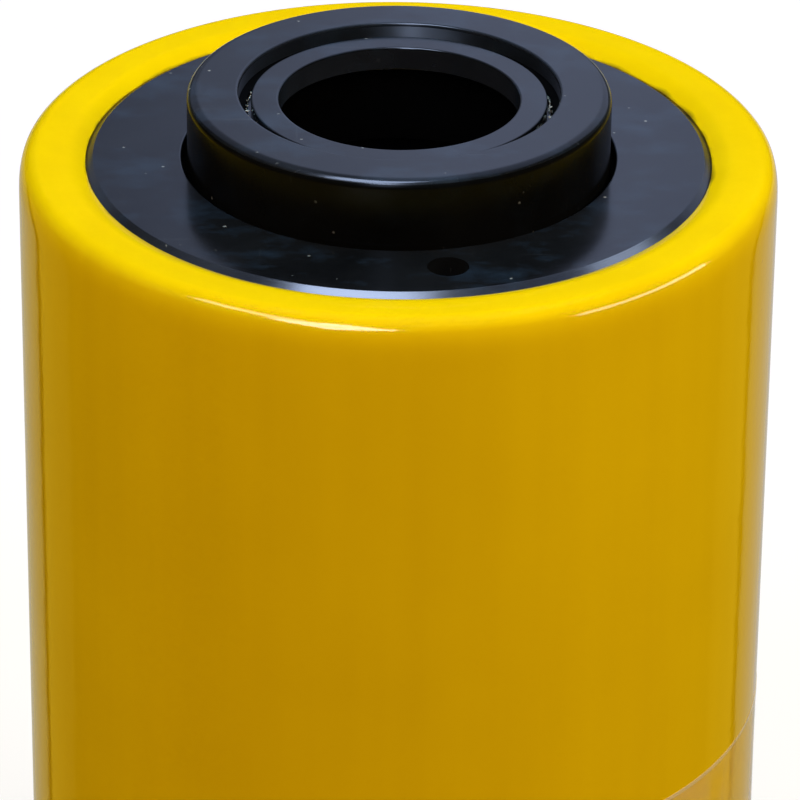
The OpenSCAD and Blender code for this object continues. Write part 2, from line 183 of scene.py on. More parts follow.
blackSteel = {"tint": (0.80, 0.88, 1.0, 1.0), "cloud": (60, 4, 0.6), "cloudShare": 0.6, "sheen": (-0.05, 0.06),
              "rings": 5200, "ringDepth": 0.0000012, "skin": (900, 3), "skinDepth": 0.000004,
              "hair": {"stretch": (35, 1500, 300), "turn": 0.55, "span": (0.70, 0.76)},
              "nick": {"stretch": (1300, 40, 300), "turn": -0.35, "span": (0.72, 0.78)},
              "markPatch": (45, 2), "markSpan": (0.45, 0.6), "markShare": 0.16, "markDepth": 0.0000015,
              "markColor": (0.16, 0.18, 0.23),
              "scuff": (75, 4, 0.65), "scuffStretch": (1, 1.6, 1), "scuffSpan": (0.50, 0.72),
              "scuffColor": (0.010, 0.017, 0.030),
              "dust": {"cell": 420, "size": (0.15, 0.05), "patch": (300, 2), "rare": (0.60, 0.66)},
              "dustColor": (0.55, 0.56, 0.58)}


def scratches(tree, coords, stretch, turn, span):
    return spread(tree, noise(tree, scaled(tree, coords, stretch, turn), 1), *span)


def makeBlackSteel(name, low, high, rough, dust, wear=1.0, ior=1.5, paintedSheen=None):
    p = blackSteel
    finish, tree, shader, coords = newFinish(name, {"IOR": ior, "Specular Tint": p["tint"]})
    rings = lineNoise(tree, axisDistance(tree, coords), p["rings"])  # left by the lathe
    cloud = noise(tree, coords, *p["cloud"])
    marks = sums(tree, "ADD", scratches(tree, coords, **p["hair"]), scratches(tree, coords, **p["nick"]))
    marks = sums(tree, "MULTIPLY", marks, spread(tree, noise(tree, coords, *p["markPatch"]), *p["markSpan"]))
    scuff = noise(tree, scaled(tree, coords, p["scuffStretch"]), *p["scuff"])  # rubbed blue patches
    scuff = sums(tree, "MULTIPLY", spread(tree, scuff, *p["scuffSpan"]), wear)
    color = blendColor(tree, spread(tree, cloud, *wideNoise), low, high)
    color = blendColor(tree, scuff, color, p["scuffColor"])
    color = blendColor(tree, sums(tree, "MULTIPLY", marks, p["markShare"] * wear), color, p["markColor"])
    if paintedSheen is not None:  # greyer down the wall, below the part seen at rest: paint that stands in for sheen on the long wall
        height = spread(tree, axes(tree, coords)["Z"], paintedSheen["low"], paintedSheen["high"])
        color = blendColor(tree, height, paintedSheen["color"], color)
    grains = sums(tree, "MULTIPLY", specks(tree, coords, **p["dust"]), dust)
    color = blendColor(tree, grains, color, p["dustColor"])
    sheen = weighed(tree, cloud, rings, p["cloudShare"])
    sheen = spread(tree, sheen, *wideNoise, *(rough + step for step in p["sheen"]))
    normal = relief(tree, rings, p["ringDepth"])
    normal = relief(tree, noise(tree, coords, *p["skin"]), p["skinDepth"], normal)
    normal = relief(tree, marks, p["markDepth"], normal)
    dress(tree, shader, color, sheen, normal)
    return finish


def combed(finish):
    # tool marks round the wall draw its highlights out along the axis
    tree = finish.node_tree
    shader = tree.nodes["Principled BSDF"].inputs
    shader["Anisotropic"].default_value = 1.0
    shader["Anisotropic Rotation"].default_value = 0.25
    around = addNode(tree, "ShaderNodeTangent", direction_type="RADIAL", axis="Z")
    feed(tree, shader["Tangent"], around.outputs["Tangent"])
    return finish


bareMetal = {"detail": 4, "grainRough": 0.6, "stain": (40, 3), "sheen": (-0.06, 0.08)}


def makeMetal(name, low, high, rough, grain, stretch=(1, 1, 1), depth=0.000006):
    p = bareMetal
    finish, tree, shader, coords = newFinish(name, {"Metallic": 1.0})
    grains = noise(tree, scaled(tree, coords, stretch), grain, p["detail"], p["grainRough"])
    tone = weighed(tree, grains, noise(tree, coords, *p["stain"]))
    color = blendColor(tree, spread(tree, tone, *midNoise), low, high)
    sheen = spread(tree, grains, *wideNoise, *(rough + step for step in p["sheen"]))
    dress(tree, shader, color, sheen, relief(tree, grains, depth))
    return finish


softStuff = {"ior": 1.48, "detail": 3, "haze": (120, 2), "sheen": (-0.05, 0.05), "depth": 0.00001}


def makeSoft(name, low, high, rough, grain=500, gloss=0.5):
    p = softStuff
    finish, tree, shader, coords = newFinish(name, {"IOR": p["ior"], "Specular IOR Level": gloss})
    grains = noise(tree, coords, grain, p["detail"])
    color = blendColor(tree, spread(tree, grains, *wideNoise), low, high)
    sheen = spread(tree, noise(tree, coords, *p["haze"]), *wideNoise, *(rough + step for step in p["sheen"]))
    dress(tree, shader, color, sheen, relief(tree, grains, p["depth"]))
    return finish


yellowPaint = makePaint()
blackGland = makeBlackSteel("blackGland", (0.0025, 0.0028, 0.0036), (0.006, 0.0066, 0.0084), rough=0.16, dust=0.5)
blackPlunger = makeBlackSteel("blackPlunger", (0.003, 0.0034, 0.0044), (0.007, 0.0078, 0.0098), rough=0.19, dust=0.35)
# its wall is made greyer low down, as a painted sheen
blackWall = makeBlackSteel("blackWall", (0.0016, 0.0016, 0.0017), (0.0028, 0.0028, 0.0030), rough=0.24, dust=0.3,
                           wear=0.1, ior=1.15, paintedSheen={"low": 0.105, "high": 0.165, "color": (0.021, 0.0215, 0.0235)})
wornBevel = makeBlackSteel("wornBevel", (0.004, 0.0044, 0.0055), (0.012, 0.013, 0.016), rough=0.20, dust=0.5, ior=1.75)
boreLip = makeBlackSteel("boreLip", (0.007, 0.0085, 0.013), (0.014, 0.017, 0.026), rough=0.20, dust=0.3, wear=0.6)
turnedBore = combed(makeBlackSteel("turnedBore", (0.004, 0.005, 0.007), (0.008, 0.010, 0.014), rough=0.45, dust=0.3,
                                   wear=0.6, ior=1.75))
# near-black for the bores, the saddle's relief and the pin holes: painted shade, darker than the oily steel itself, so
# these hollows stay black under the lamps
shadedOilyBore = makeSoft("shadedOilyBore", (0.0004, 0.0004, 0.0005), (0.0008, 0.0008, 0.0009), rough=0.6, gloss=0.03)
groundSteel = makeMetal("groundSteel", (0.36, 0.36, 0.37), (0.48, 0.48, 0.50), rough=0.28, grain=600, stretch=(1, 1, 4))
coreSteel = makeMetal("coreSteel", (0.30, 0.29, 0.28), (0.40, 0.39, 0.38), rough=0.38, grain=350)
platedSteel = makeMetal("platedSteel", (0.60, 0.58, 0.53), (0.74, 0.72, 0.68), rough=0.30, grain=260)
springSteel = makeMetal("springSteel", (0.10, 0.10, 0.11), (0.19, 0.19, 0.20), rough=0.40, grain=420)
ballSteel = makeMetal("ballSteel", (0.66, 0.66, 0.68), (0.75, 0.75, 0.77), rough=0.13, grain=500, depth=0.000001)
guideBronze = makeMetal("guideBronze", (0.20, 0.11, 0.045), (0.30, 0.17, 0.07), rough=0.42, grain=500)
blackRubber = makeSoft("blackRubber", (0.008, 0.008, 0.008), (0.016, 0.016, 0.016), rough=0.55)
sealPlastic = makeSoft("sealPlastic", (0.01, 0.04, 0.20), (0.02, 0.06, 0.26), rough=0.40)
backupPlastic = makeSoft("backupPlastic", (0.62, 0.58, 0.48), (0.72, 0.68, 0.58), rough=0.45)
chipWhite = makeSoft("chipWhite", (0.42, 0.43, 0.46), (0.62, 0.63, 0.66), rough=0.45, grain=900)
print("finishes:", len(bpy.data.materials))


# turned pieces, in mm: each point of an outline is r, z, round, finish

roundHold = {"share": 0.4, "most": 0.25}  # strip beside each round that keeps the smooth shading on it


def rounded(outline, steps):
    points = []
    for i, (r, z, bend, tone) in enumerate(outline):
        if bend <= 0:
            points.append((r, z, tone))
            continue
        here = Vector((r, z))
        back = Vector(outline[i - 1][:2]) - here
        ahead = Vector(outline[(i + 1) % len(outline)][:2]) - here
        half = back.angle(ahead) / 2
        reach = bend / math.tan(half)
        hold = min(roundHold["share"] * bend, roundHold["most"])
        back.normalize()
        ahead.normalize()
        centre = here + (back + ahead).normalized() * (bend / math.sin(half))
        start = here + back * reach - centre
        swing = start.angle_signed(here + ahead * reach - centre)
        lead = here + back * (reach + hold)
        points.append((lead.x, lead.y, outline[i - 1][3]))
        for k in range(steps + 1):
            spoke = start.copy()
            spoke.rotate(Matrix.Rotation(-swing * k / steps, 2))
            points.append((centre.x + spoke.x, centre.y + spoke.y, tone))
        tail = here + ahead * (reach + hold)
        points.append((tail.x, tail.y, tone))
    return points


def sweep(r, z, radius, first, last, steps, tone):
    # points of an outer round about its centre, from the wall's side up
    turns = [math.radians(first + (last - first) * k / steps) for k in range(steps + 1)]
    return [(r + radius * math.cos(a), z + radius * math.sin(a), 0, tone) for a in turns]


def circle(r, z, count):
    turns = [2 * math.pi * k / count for k in range(count)]
    return [(r * math.cos(a), r * math.sin(a), z) for a in turns]


def place(mesh, name, finishes):
    piece = bpy.data.objects.new(name, mesh)
    scene.collection.objects.link(piece)
    for finish in finishes:
        mesh.materials.append(finish)
    return piece


def built(form, name, finishes, move=Matrix(), outward=True):
    if outward:
        bmesh.ops.recalc_face_normals(form, faces=form.faces)
    form.transform(move)
    mesh = bpy.data.meshes.new(name)
    form.to_mesh(mesh)
    form.free()
    return place(mesh, name, finishes)


def shade(mesh, angle=32):
    mesh.shade_smooth()
    mesh.set_sharp_from_angle(angle=math.radians(angle))


def turned(name, outline, finishes, segments, steps, move=Matrix()):
    profile = rounded(outline, steps)
    form = bmesh.new()
    rows = []
    for s in range(segments):
        a = 2 * math.pi * s / segments
        rows.append([form.verts.new((r * mm * math.cos(a), r * mm * math.sin(a), z * mm)) for r, z, tone in profile])
    for s in range(segments):
        near, far = rows[s], rows[(s + 1) % segments]
        for k in range(len(profile)):
            n = (k + 1) % len(profile)
            face = form.faces.new((near[k], far[k], far[n], near[n]))
            face.material_index = profile[k][2]
    piece = built(form, name, finishes, move)
    shade(piece.data)
    return piece


def stacked(rings, capped=True):
    # wall through rings of points, from the lowest up
    form = bmesh.new()
    loops = [[form.verts.new(point) for point in ring] for ring in rings]
    for low, high in zip(loops, loops[1:]):
        for k in range(len(low)):
            n = (k + 1) % len(low)
            form.faces.new((low[k], low[n], high[n], high[k]))
    if capped:
        form.faces.new(reversed(loops[0]))
        form.faces.new(loops[-1])
    return form


def settle(piece):
    # the piece keeps the mesh that its modifiers give
    bpy.context.view_layer.update()
    graph = bpy.context.evaluated_depsgraph_get()
    mesh = bpy.data.meshes.new_from_object(piece.evaluated_get(graph), depsgraph=graph)
    old = piece.data
    piece.modifiers.clear()
    piece.data = mesh
    mesh.name = piece.name
    bpy.data.meshes.remove(old)


def carve(piece, cutters, operation="DIFFERENCE"):
    for cutter in cutters:
        cut = piece.modifiers.new("cut", "BOOLEAN")
        cut.solver = "EXACT"
        cut.operation = operation
        cut.object = cutter
        settle(piece)
        bpy.data.meshes.remove(cutter.data)
    shade(piece.data)


drillSides, drillPast = 64, 1.0


def drill(name, r, bottom, top, finish, move, lead=0.0):
    # plug that cuts a hole, widened by the lead-in at its top face
    rings = [(r, bottom), (r, top - lead), (r + lead + drillPast, top + drillPast)]
    form = stacked([circle(ring * mm, z * mm, drillSides) for ring, z in rings])
    return built(form, name, [finish], move)


portHeight = 24.0
atPort = Matrix.Translation((0, 0, portHeight * mm)) @ Matrix.Rotation(math.radians(-90), 4, "X")  # Z becomes +Y

shell = {"r": 57.0, "chamfer": 1.5, "top": 168.0, "topRound": 2.7, "fall": 0.316, "roundFrom": 16,
         "brow": [(0, 9), (0, 6.5), (0.014, 5.2), (0.052, 4.1), (0.129, 3.3), (0.221, 2.75), (0.336, 2.25)],
         "mouth": 47.0, "lip": [(3.4, 0), (2.6, 0.1), (1.8, 0.35), (0.9, 0.75), (0, 1.22)], "lipFoot": 165.5,
         "shoulder": 141.0, "bore": 43.5, "floor": 20.0, "throat": 21.55, "seat": 24.55, "seatTop": 8.45,
         "seatLead": 0.75, "groove": 25.6, "grooveTop": 3.45, "grooveFoot": 1.75,
         "port": {"portFlat": (16.59, 54.43, 60, yellowPaint), "portThread": (8.5, 45.93, 60, coreSteel),
                  "oilWay": (3, 40, 50, coreSteel)},  # r, from, to
         "baseHole": 5.0, "baseHoleDeep": 14.0, "baseHoleLead": 0.6, "baseHoleAt": 46.0}


def makeShell():
    p = shell
    outline = [
        (p["seat"] + p["seatLead"], 0, 0.2, 0), (p["r"] - p["chamfer"], 0, 0.3, 0), (p["r"], p["chamfer"], 0.4, 0),
        *[(p["r"] - back, p["top"] - down, 0, 0) for back, down in p["brow"]],
        *sweep(p["r"] - p["fall"] - p["topRound"], p["top"] - p["topRound"], p["topRound"], p["roundFrom"], 90, 14, 0),
        *[(p["mouth"] + out, p["top"] - down, 0, 0) for out, down in p["lip"]],
        (p["mouth"], p["lipFoot"], 0, 1), (p["mouth"], p["shoulder"], 0, 1), (p["bore"], p["shoulder"], 0.3, 1),
        (p["bore"], p["floor"], 0.4, 1), (p["throat"], p["floor"], 0.2, 1), (p["throat"], p["seatTop"], 0.1, 1),
        (p["seat"], p["seatTop"], 0, 1), (p["seat"], p["grooveTop"], 0, 1), (p["groove"], p["grooveTop"], 0, 1),
        (p["groove"], p["grooveFoot"], 0, 1), (p["seat"], p["grooveFoot"], 0, 1), (p["seat"], p["seatLead"], 0.1, 1)]
    piece = turned("bodyShell", outline, [yellowPaint, coreSteel], segments=288, steps=14)
    cutters = [drill(name, *cut, atPort) for name, cut in p["port"].items()]
    flip = Matrix.Rotation(math.pi, 4, "X")
    for x in (-p["baseHoleAt"], p["baseHoleAt"]):
        under = Matrix.Translation((x * mm, 0, 0)) @ flip
        cutters.append(drill("baseHole", p["baseHole"], -p["baseHoleDeep"], 0, coreSteel, under, p["baseHoleLead"]))
    carve(piece, cutters)
    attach(piece, "housing")
    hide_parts("cylinder_body")
    return piece


gland = {"r": 46.95, "top": 167.4, "foot": 141.0, "chamferIn": 1.1, "chamferDown": 0.85, "eye": 32.6, "bore": 32.25,
         "guide": 33.85, "guideLow": 143.5, "guideHigh": 153.6, "wiper": 36.25, "wiperLow": 155.7, "wiperHigh": 161.4,
         "pin": 3.05, "pinFoot": 162.4, "pinTurn": -79.0, "pinR": 38.4}


def makeGland():
    p = gland
    outline = [
        (p["eye"], p["top"], 0.25, 0), (p["r"] - p["chamferIn"], p["top"], 0.12, 2),
        (p["r"], p["top"] - p["chamferDown"], 0.1, 0), (p["r"], p["foot"], 0.2, 1), (p["bore"], p["foot"], 0.2, 1),
        (p["bore"], p["guideLow"], 0, 1), (p["guide"], p["guideLow"], 0, 1), (p["guide"], p["guideHigh"], 0, 1),
        (p["bore"], p["guideHigh"], 0, 1), (p["bore"], p["wiperLow"], 0, 1), (p["wiper"], p["wiperLow"], 0, 1),
        (p["wiper"], p["wiperHigh"], 0, 1), (p["eye"], p["wiperHigh"], 0.1, 0)]
    piece = turned("glandRing", outline, [blackGland, coreSteel, wornBevel], segments=288, steps=5)
    cutters = []
    for turn in (p["pinTurn"], p["pinTurn"] + 180):
        a = math.radians(turn)
        spot = Matrix.Translation(Vector((p["pinR"] * math.cos(a), p["pinR"] * math.sin(a), 0)) * mm)
        # the pin holes take the bores' painted shade
        cutters.append(drill("pinHole", p["pin"], p["pinFoot"], p["top"], shadedOilyBore, spot))
    carve(piece, cutters)
    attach(piece, "housing")
    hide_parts("gland_nut")
    return piece


ram = {"r": 31.75, "top": 178.0, "round": 1.45, "wallTo": 28, "rimFrom": 34, "rim": 0.25, "recess": 24.07,
       "lipDown": 0.55, "recessDown": 2.6, "lead": 0.5, "thread": 23.0, "threadFoot": 160.6,
       "bore": 22.2, "foot": 46.35}


def makeRam():
    p = ram
    inner, under, step = p["r"] - p["round"], p["top"] - p["round"], p["top"] - p["recessDown"]
    outline = [
        (p["r"], p["foot"], 0.2, 2),
        *sweep(inner, under, p["round"], 0, p["wallTo"], 4, 2),
        *sweep(inner, under, p["round"], p["rimFrom"], 90, 8, 0),
        (inner - p["rim"], p["top"], 0, 0), (p["recess"], p["top"], 0.35, 3),
        (p["recess"], p["top"] - p["lipDown"], 0, 4), (p["recess"], step, 0.1, 1),
        (p["thread"], step - p["lead"], 0.1, 1), (p["thread"], p["threadFoot"], 0, 1),
        (p["bore"], p["threadFoot"], 0, 1), (p["bore"], p["foot"], 0.2, 1)]
    # finish 1, the bore, its thread and the faces below the recess, is the bores' painted shade
    finishes = [blackPlunger, shadedOilyBore, blackWall, boreLip, turnedBore]
    piece = turned("plungerTube", outline, finishes, segments=256, steps=8)
    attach(piece, "plunger")
    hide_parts("plunger")
    return piece


nut = {"root": 22.15, "taper": 0.1, "top": 176.65, "foot": 160.65, "hole": 18.0, "lip": 3.7, "relief": 19.6}


def makeSaddle():
    p = nut
    ledge = p["top"] - p["lip"]
    outline = [
        (p["hole"], p["top"], 0.3, 0), (p["root"], p["top"], 0.2, 0), (p["root"] - p["taper"], p["foot"], 0.2, 1),
        (p["relief"], p["foot"], 0.2, 1), (p["relief"], ledge, 0.2, 1), (p["hole"], ledge, 0.25, 2)]
    # finish 1, the underside and the relief, is the bores' painted shade
    piece = turned("saddleNut", outline, [blackGland, shadedOilyBore, boreLip], segments=256, steps=5)
    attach(piece, "plunger")
    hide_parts("saddle")
    return piece


sleeve = {"hole": 18.2, "r": 21.5, "top": 154.65, "chamfer": 1.3, "flange": 24.5, "flangeTop": 8.45, "foot": 3.45}


def makeSleeve():
    p = sleeve
    outline = [
        (p["hole"], p["foot"], 0.5, 0), (p["flange"], p["foot"], 0.2, 0), (p["flange"], p["flangeTop"], 0.2, 0),
        (p["r"], p["flangeTop"], 0.2, 0), (p["r"], p["top"] - p["chamfer"], 0.2, 0),
        (p["r"] - p["chamfer"], p["top"], 0.2, 0), (p["hole"], p["top"], 0.4, 0)]
    piece = turned("centerSleeve", outline, [groundSteel], segments=192, steps=4)
    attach(piece, "housing")
    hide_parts("center_tube")
    return piece


bodyShell = makeShell()
glandRing = makeGland()
plungerTube = makeRam()
saddleNut = makeSaddle()
centerSleeve = makeSleeve()
turnedPieces = (bodyShell, glandRing, plungerTube, saddleNut, centerSleeve)
print("turned pieces:", sum(len(o.data.polygons) for o in turnedPieces), "faces")


# coils and threads, in Geometry Nodes: a piece's dictionary names the inputs of its tree

socketKinds = {float: "NodeSocketFloat", int: "NodeSocketInt", bpy.types.Material: "NodeSocketMaterial"}


def newTree(name, sample):
    tree = bpy.data.node_groups.new(name, "GeometryNodeTree")
    for way in ("OUTPUT", "INPUT"):
        tree.interface.new_socket("Geometry", in_out=way, socket_type="NodeSocketGeometry")
    for label, value in sample.items():
        tree.interface.new_socket(label, in_out="INPUT", socket_type=socketKinds[type(value)])
    source = addNode(tree, "NodeGroupInput")
    sink = addNode(tree, "NodeGroupOutput")
    return tree, source.outputs, sink.inputs["Geometry"]


def coatTree(tree, form, finish, sink):
    whole = addNode(tree, "GeometryNodeRealizeInstances", {"Geometry": form})
    coat = addNode(tree, "GeometryNodeSetMaterial", {"Geometry": whole.outputs["Geometry"], "Material": finish})
    feed(tree, sink, coat.outputs["Geometry"])


def polar(tree, reach, angle, rise):
    x, y = (sums(tree, "MULTIPLY", reach, sums(tree, way, angle)) for way in ("COSINE", "SINE"))
    return vector(tree, x, y, rise)


def indexShare(tree, count):
    index = addNode(tree, "GeometryNodeInputIndex").outputs["Index"]
    return sums(tree, "DIVIDE", index, sums(tree, "SUBTRACT", count, 1))


def runTree(name, tree, values, move=Matrix()):
    piece = place(bpy.data.meshes.new(name), name, [values["Finish"]])
    modifier = piece.modifiers.new("grow", "NODES")
    modifier.node_group = tree
    for item in tree.interface.items_tree:
        if item.in_out == "INPUT" and item.name in values:
            modifier[item.identifier] = values[item.name]
    settle(piece)
    piece.data.transform(move @ Matrix.Translation((0, 0, coilRise.get(name, 0) * mm)))
    return piece


coilRise = {"returnCoil": 48.9, "ballCoil": 60.49, "saddleThread": 161.6, "couplerThread": 71.2}  # of each start
springWire = {"Turns": 5.0, "Flat Turns": 0.9, "Fade": 0.001, "Finish": springSteel}
threadWire = {"Flat Turns": 0.0, "Flat Pitch": 0.0, "Sides": 6}
returnCoil = {**springWire, "Radius": 39.125 * mm, "Wire Width": 5.0 * mm, "Wire Height": 5.0 * mm,
              "Flat Pitch": 5.1 * mm, "Length": 89.5 * mm, "Steps": 400, "Sides": 20}
ballCoil = {**springWire, "Radius": 4.004 * mm, "Wire Width": 0.9 * mm, "Wire Height": 0.9 * mm,
            "Flat Pitch": 0.918 * mm, "Length": 9.1 * mm, "Steps": 240, "Sides": 12}
noseThread = {**threadWire, "Radius": 12.95 * mm, "Wire Width": 1.1 * mm, "Wire Height": 1.25 * mm, "Turns": 8.5,
              "Length": 17.0 * mm, "Steps": 820, "Fade": 0.6, "Finish": platedSteel}
saddleThread = {**threadWire, "Radius": 22.35 * mm, "Wire Width": 1.16 * mm, "Wire Height": 1.1 * mm, "Turns": 8.6,
                "Length": 12.9 * mm, "Steps": 1200, "Fade": 0.5, "Finish": blackGland}
thinnest = 0.02  # of the wire's size, at the end of a run-out


def makeCoilTree():
    tree, given, sink = newTree("coilWire", returnCoil)

    def calc(operation, a, b):
        return sums(tree, operation, a, b)

    line = addNode(tree, "GeometryNodeMeshLine", {"Count": given["Steps"]})
    path = addNode(tree, "GeometryNodeMeshToCurve", {"Mesh": line.outputs["Mesh"]})
    turn = calc("MULTIPLY", indexShare(tree, given["Steps"]), given["Turns"])
    flat = calc("MULTIPLY", given["Flat Turns"], 2)  # closed turns at both ends
    free = calc("SUBTRACT", given["Turns"], flat)
    pitch = calc("DIVIDE", calc("SUBTRACT", given["Length"], calc("MULTIPLY", flat, given["Flat Pitch"])), free)
    past = calc("SUBTRACT", turn, given["Flat Turns"])
    low = calc("MINIMUM", turn, given["Flat Turns"])
    middle = calc("MINIMUM", calc("MAXIMUM", past, 0), free)
    high = calc("MAXIMUM", calc("SUBTRACT", past, free), 0)
    flatRise = calc("MULTIPLY", calc("ADD", low, high), given["Flat Pitch"])
    rise = calc("ADD", flatRise, calc("MULTIPLY", middle, pitch))
    spot = polar(tree, given["Radius"], calc("MULTIPLY", turn, 2 * math.pi), rise)
    bend = addNode(tree, "GeometryNodeSetPosition", {"Geometry": path.outputs["Curve"], "Position": spot})
    upright = addNode(tree, "GeometryNodeSetCurveNormal", {"Curve": bend.outputs["Geometry"]}, mode="Z_UP")
    ends = calc("MINIMUM", turn, calc("SUBTRACT", given["Turns"], turn))  # run-out at both ends
    size = calc("MINIMUM", calc("ADD", calc("DIVIDE", ends, given["Fade"]), thinnest), 1)
    taper = addNode(tree, "GeometryNodeSetCurveRadius", {"Curve": upright.outputs["Curve"], "Radius": size})
    ring = addNode(tree, "GeometryNodeCurvePrimitiveCircle", {"Resolution": given["Sides"], "Radius": 0.5})
    scale = vector(tree, given["Wire Width"], given["Wire Height"], 1)
    shape = addNode(tree, "GeometryNodeTransform", {"Geometry": ring.outputs["Curve"], "Scale": scale})
    skin = addNode(tree, "GeometryNodeCurveToMesh", {
        "Curve": taper.outputs["Curve"], "Profile Curve": shape.outputs["Geometry"], "Fill Caps": True})
    coatTree(tree, skin.outputs["Mesh"], given["Finish"], sink)
    return tree


def makeCoils():
    piece = runTree("returnCoil", coilTree, returnCoil)
    shade(piece.data, angle=45)
    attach(piece, "housing")
    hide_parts("return_spring")
    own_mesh(piece)
    ball = runTree("ballCoil", coilTree, ballCoil, atPort)
    shade(ball.data, angle=45)
    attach(ball, "housing")
    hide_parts("coupler_spring")
    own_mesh(ball)
    thread = runTree("saddleThread", coilTree, saddleThread)
    shade(thread.data, angle=40)
    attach(thread, "plunger")
    return piece, ball, thread


chip = {"stray": 0.02, "lean": 3.1, "long": (0.5, 1.6), "wide": (0.15, 0.5), "thick": (0.15, 0.4)}
burr = {"Radius": 22.75 * mm, "Height": 174.5 * mm, "Finish": chipWhite}
burrs = {
    "burrsLeft": {**burr, "From": math.radians(163), "To": math.radians(196), "Size": 0.36 * mm,
                  "Count": 26, "Seed": 3},
    "burrsRight": {**burr, "From": math.radians(-22), "To": math.radians(21), "Size": 0.33 * mm,
                   "Count": 28, "Seed": 8}}


def makeBurrTree():
    tree, given, sink = newTree("threadBurrs", burrs["burrsLeft"])

    def calc(operation, a, b):
        return sums(tree, operation, a, b)

    def chance(low, high, offset):
        limits = {2: low, 3: high, "Seed": calc("ADD", given["Seed"], offset)}
        return addNode(tree, "FunctionNodeRandomValue", limits, data_type="FLOAT").outputs[1]

    def sized(low, high, offset):
        return calc("MULTIPLY", given["Size"], chance(low, high, offset))

    line = addNode(tree, "GeometryNodeMeshLine", {"Count": given["Count"]})
    along = calc("ADD", indexShare(tree, given["Count"]), chance(-chip["stray"], chip["stray"], 1))
    angle = calc("ADD", given["From"], calc("MULTIPLY", calc("SUBTRACT", given["To"], given["From"]), along))
    reach = calc("ADD", given["Radius"], sized(-1.0, 1.0, 2))
    spot = polar(tree, reach, angle, calc("ADD", given["Height"], sized(-1.0, 1.0, 3)))
    lay = addNode(tree, "GeometryNodeSetPosition", {"Geometry": line.outputs["Mesh"], "Position": spot})
    bead = addNode(tree, "GeometryNodeMeshIcoSphere", {"Radius": 1.0, "Subdivisions": 1})
    turns = {0: [-chip["lean"]] * 3, 1: [chip["lean"]] * 3, "Seed": given["Seed"]}
    lean = addNode(tree, "FunctionNodeRandomValue", turns, data_type="FLOAT_VECTOR")
    size = vector(tree, sized(*chip["long"], 4), sized(*chip["wide"], 5), sized(*chip["thick"], 6))
    scatter = addNode(tree, "GeometryNodeInstanceOnPoints", {
        "Points": lay.outputs["Geometry"], "Instance": bead.outputs["Mesh"],
        "Rotation": lean.outputs[0], "Scale": size})
    coatTree(tree, scatter.outputs["Instances"], given["Finish"], sink)
    return tree


def makeBurrs():
    made = []
    for name, values in burrs.items():
        piece = runTree(name, burrTree, values)
        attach(piece, "plunger")
        made.append(piece)
    return made


coilTree = makeCoilTree()
burrTree = makeBurrTree()
coilPieces = makeCoils()
burrPieces = makeBurrs()
print("coils and burrs:", [len(o.data.polygons) for o in (*coilPieces, *burrPieces)])


# hose coupler at the back, in mm along the port's axis

coupler = {"shank": 8.45, "foot": 45.98, "inHex": 2.0, "collar": 12.9, "core": 12.85, "neck": 12.2,
           "neckSteps": (1.5, 2.0, 3.2, 3.8), "end": 89.93, "endIn": 1.0, "endDown": 1.2,
           "socket": 9.5, "socketLead": 0.8, "socketEnd": 79.93, "seal": 11.3, "sealFrom": 82.88, "sealTo": 84.78,
           "insert": 8.45, "insertEnd": 74.93, "chamber": 6.4, "chamberEnd": 59.99, "way": 3.4}
hexagon = {"acrossFlats": 27.0, "face": 54.48, "end": 66.43, "hole": 8.46, "past": 0.1, "faceIn": 0.9, "faceDown": 0.7,
           "endIn": 1.25, "endDown": 0.8, "soft": 0.25, "softSegments": 2, "softFrom": 25}


def makeHexagon():
    p = hexagon
    r = p["acrossFlats"] / math.sqrt(3)
    form = stacked([circle(r * mm, z * mm, 6) for z in (p["face"], p["end"])])
    piece = built(form, "couplerHex", [platedSteel])
    turning = turned("hexTurning", [
        (p["hole"], p["face"], 0, 0), (r - p["faceIn"], p["face"], 0, 0),
        (r + p["past"], p["face"] + p["faceDown"], 0, 0), (r + p["past"], p["end"] - p["endDown"], 0, 0),
        (r - p["endIn"], p["end"], 0, 0), (p["hole"], p["end"], 0, 0)], [platedSteel], segments=96, steps=1)
    carve(piece, [turning], "INTERSECT")
    soft = piece.modifiers.new("soften", "BEVEL")
    soft.width = p["soft"] * mm
    soft.segments = p["softSegments"]
    soft.limit_method = "ANGLE"
    soft.angle_limit = math.radians(p["softFrom"])
    settle(piece)
    piece.data.transform(atPort)
    shade(piece.data, angle=28)
    return piece


def makeCoupler():
    p = coupler
    start, end = hexagon["face"] + p["inHex"], p["end"]
    rise, low, high, back = (hexagon["end"] + step for step in p["neckSteps"])
    outline = [
        (p["shank"], p["foot"], 0.3, 0), (p["shank"], start, 0, 0), (p["collar"], start, 0, 0),
        (p["core"], rise, 0.3, 0), (p["neck"], low, 0.3, 0), (p["neck"], high, 0.3, 0), (p["core"], back, 0.2, 0),
        (p["core"], end - p["endDown"], 0.3, 0), (p["core"] - p["endIn"], end, 0.25, 0),
        (p["socket"] + p["socketLead"], end, 0.2, 0), (p["socket"], end - p["socketLead"], 0.15, 0),
        (p["socket"], p["sealTo"], 0.1, 0), (p["seal"], p["sealTo"], 0, 0), (p["seal"], p["sealFrom"], 0, 0),
        (p["socket"], p["sealFrom"], 0.1, 0), (p["socket"], p["socketEnd"], 0, 0), (p["insert"], p["socketEnd"], 0, 0),
        (p["insert"], p["insertEnd"], 0, 0), (p["chamber"], p["insertEnd"], 0.2, 0),
        (p["chamber"], p["chamberEnd"], 0, 0), (p["way"], p["chamberEnd"], 0.2, 0), (p["way"], p["foot"], 0.3, 0)]
    nose = turned("couplerNose", outline, [platedSteel], segments=128, steps=4, move=atPort)
    hexNut = makeHexagon()
    thread = runTree("couplerThread", coilTree, noseThread, atPort)
    shade(thread.data, angle=40)
    for piece in (nose, hexNut, thread):
        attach(piece, "housing")
    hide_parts("coupler_body")
    return nose, hexNut, thread


couplerPieces = makeCoupler()
print("coupler:", [len(o.data.polygons) for o in couplerPieces])


# clear film on the right of the wall, left bare

